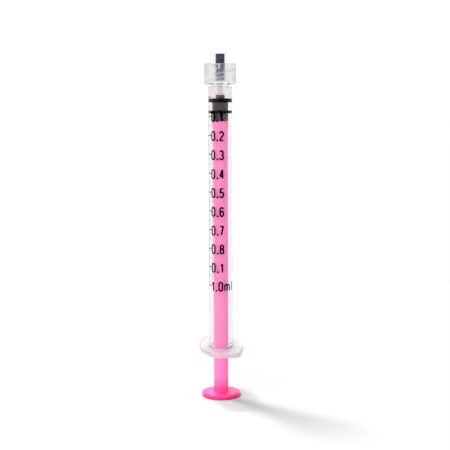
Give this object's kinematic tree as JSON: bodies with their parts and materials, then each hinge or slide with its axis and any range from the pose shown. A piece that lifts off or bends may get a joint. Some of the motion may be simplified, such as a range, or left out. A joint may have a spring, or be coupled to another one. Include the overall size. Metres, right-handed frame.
{
  "type": "luer lock syringe",
  "caption": "Slim clear one-millilitre syringe with a luer lock tip, elongated finger flange, black stopper and pink round plunger rod with a thumb disc.",
  "frame": {"origin": "on the syringe's axis at the underside of the thumb disc, where the syringe stands", "axes": "+Z along the axis towards the tip, Y along the finger flange's long way, X across its short way"},
  "size_m": [0.0124, 0.0232, 0.0991],
  "materials": {
    "clear_moulding": "clear gloss",
    "dark_insert": "satin",
    "black_rubber": "smooth",
    "pink_moulding": "satin gloss"
  },
  "bodies": {
    "plunger": {"plunger_rod": "pink_moulding"},
    "stopper": {"stopper": "black_rubber"},
    "barrel": {"barrel": "clear_moulding", "nozzle_insert": "dark_insert"}
  },
  "joints": [
    {"name": "rod_turn", "type": "hinge", "parent": "plunger", "child": "stopper", "pos_m": [0, 0, 0.0802], "axis": [0, 0, 1], "continuous": true},
    {"name": "barrel_slide", "type": "slide", "parent": "stopper", "child": "barrel", "axis": [0, 0, 1], "range_m": [0, 0.067]}
  ]
}
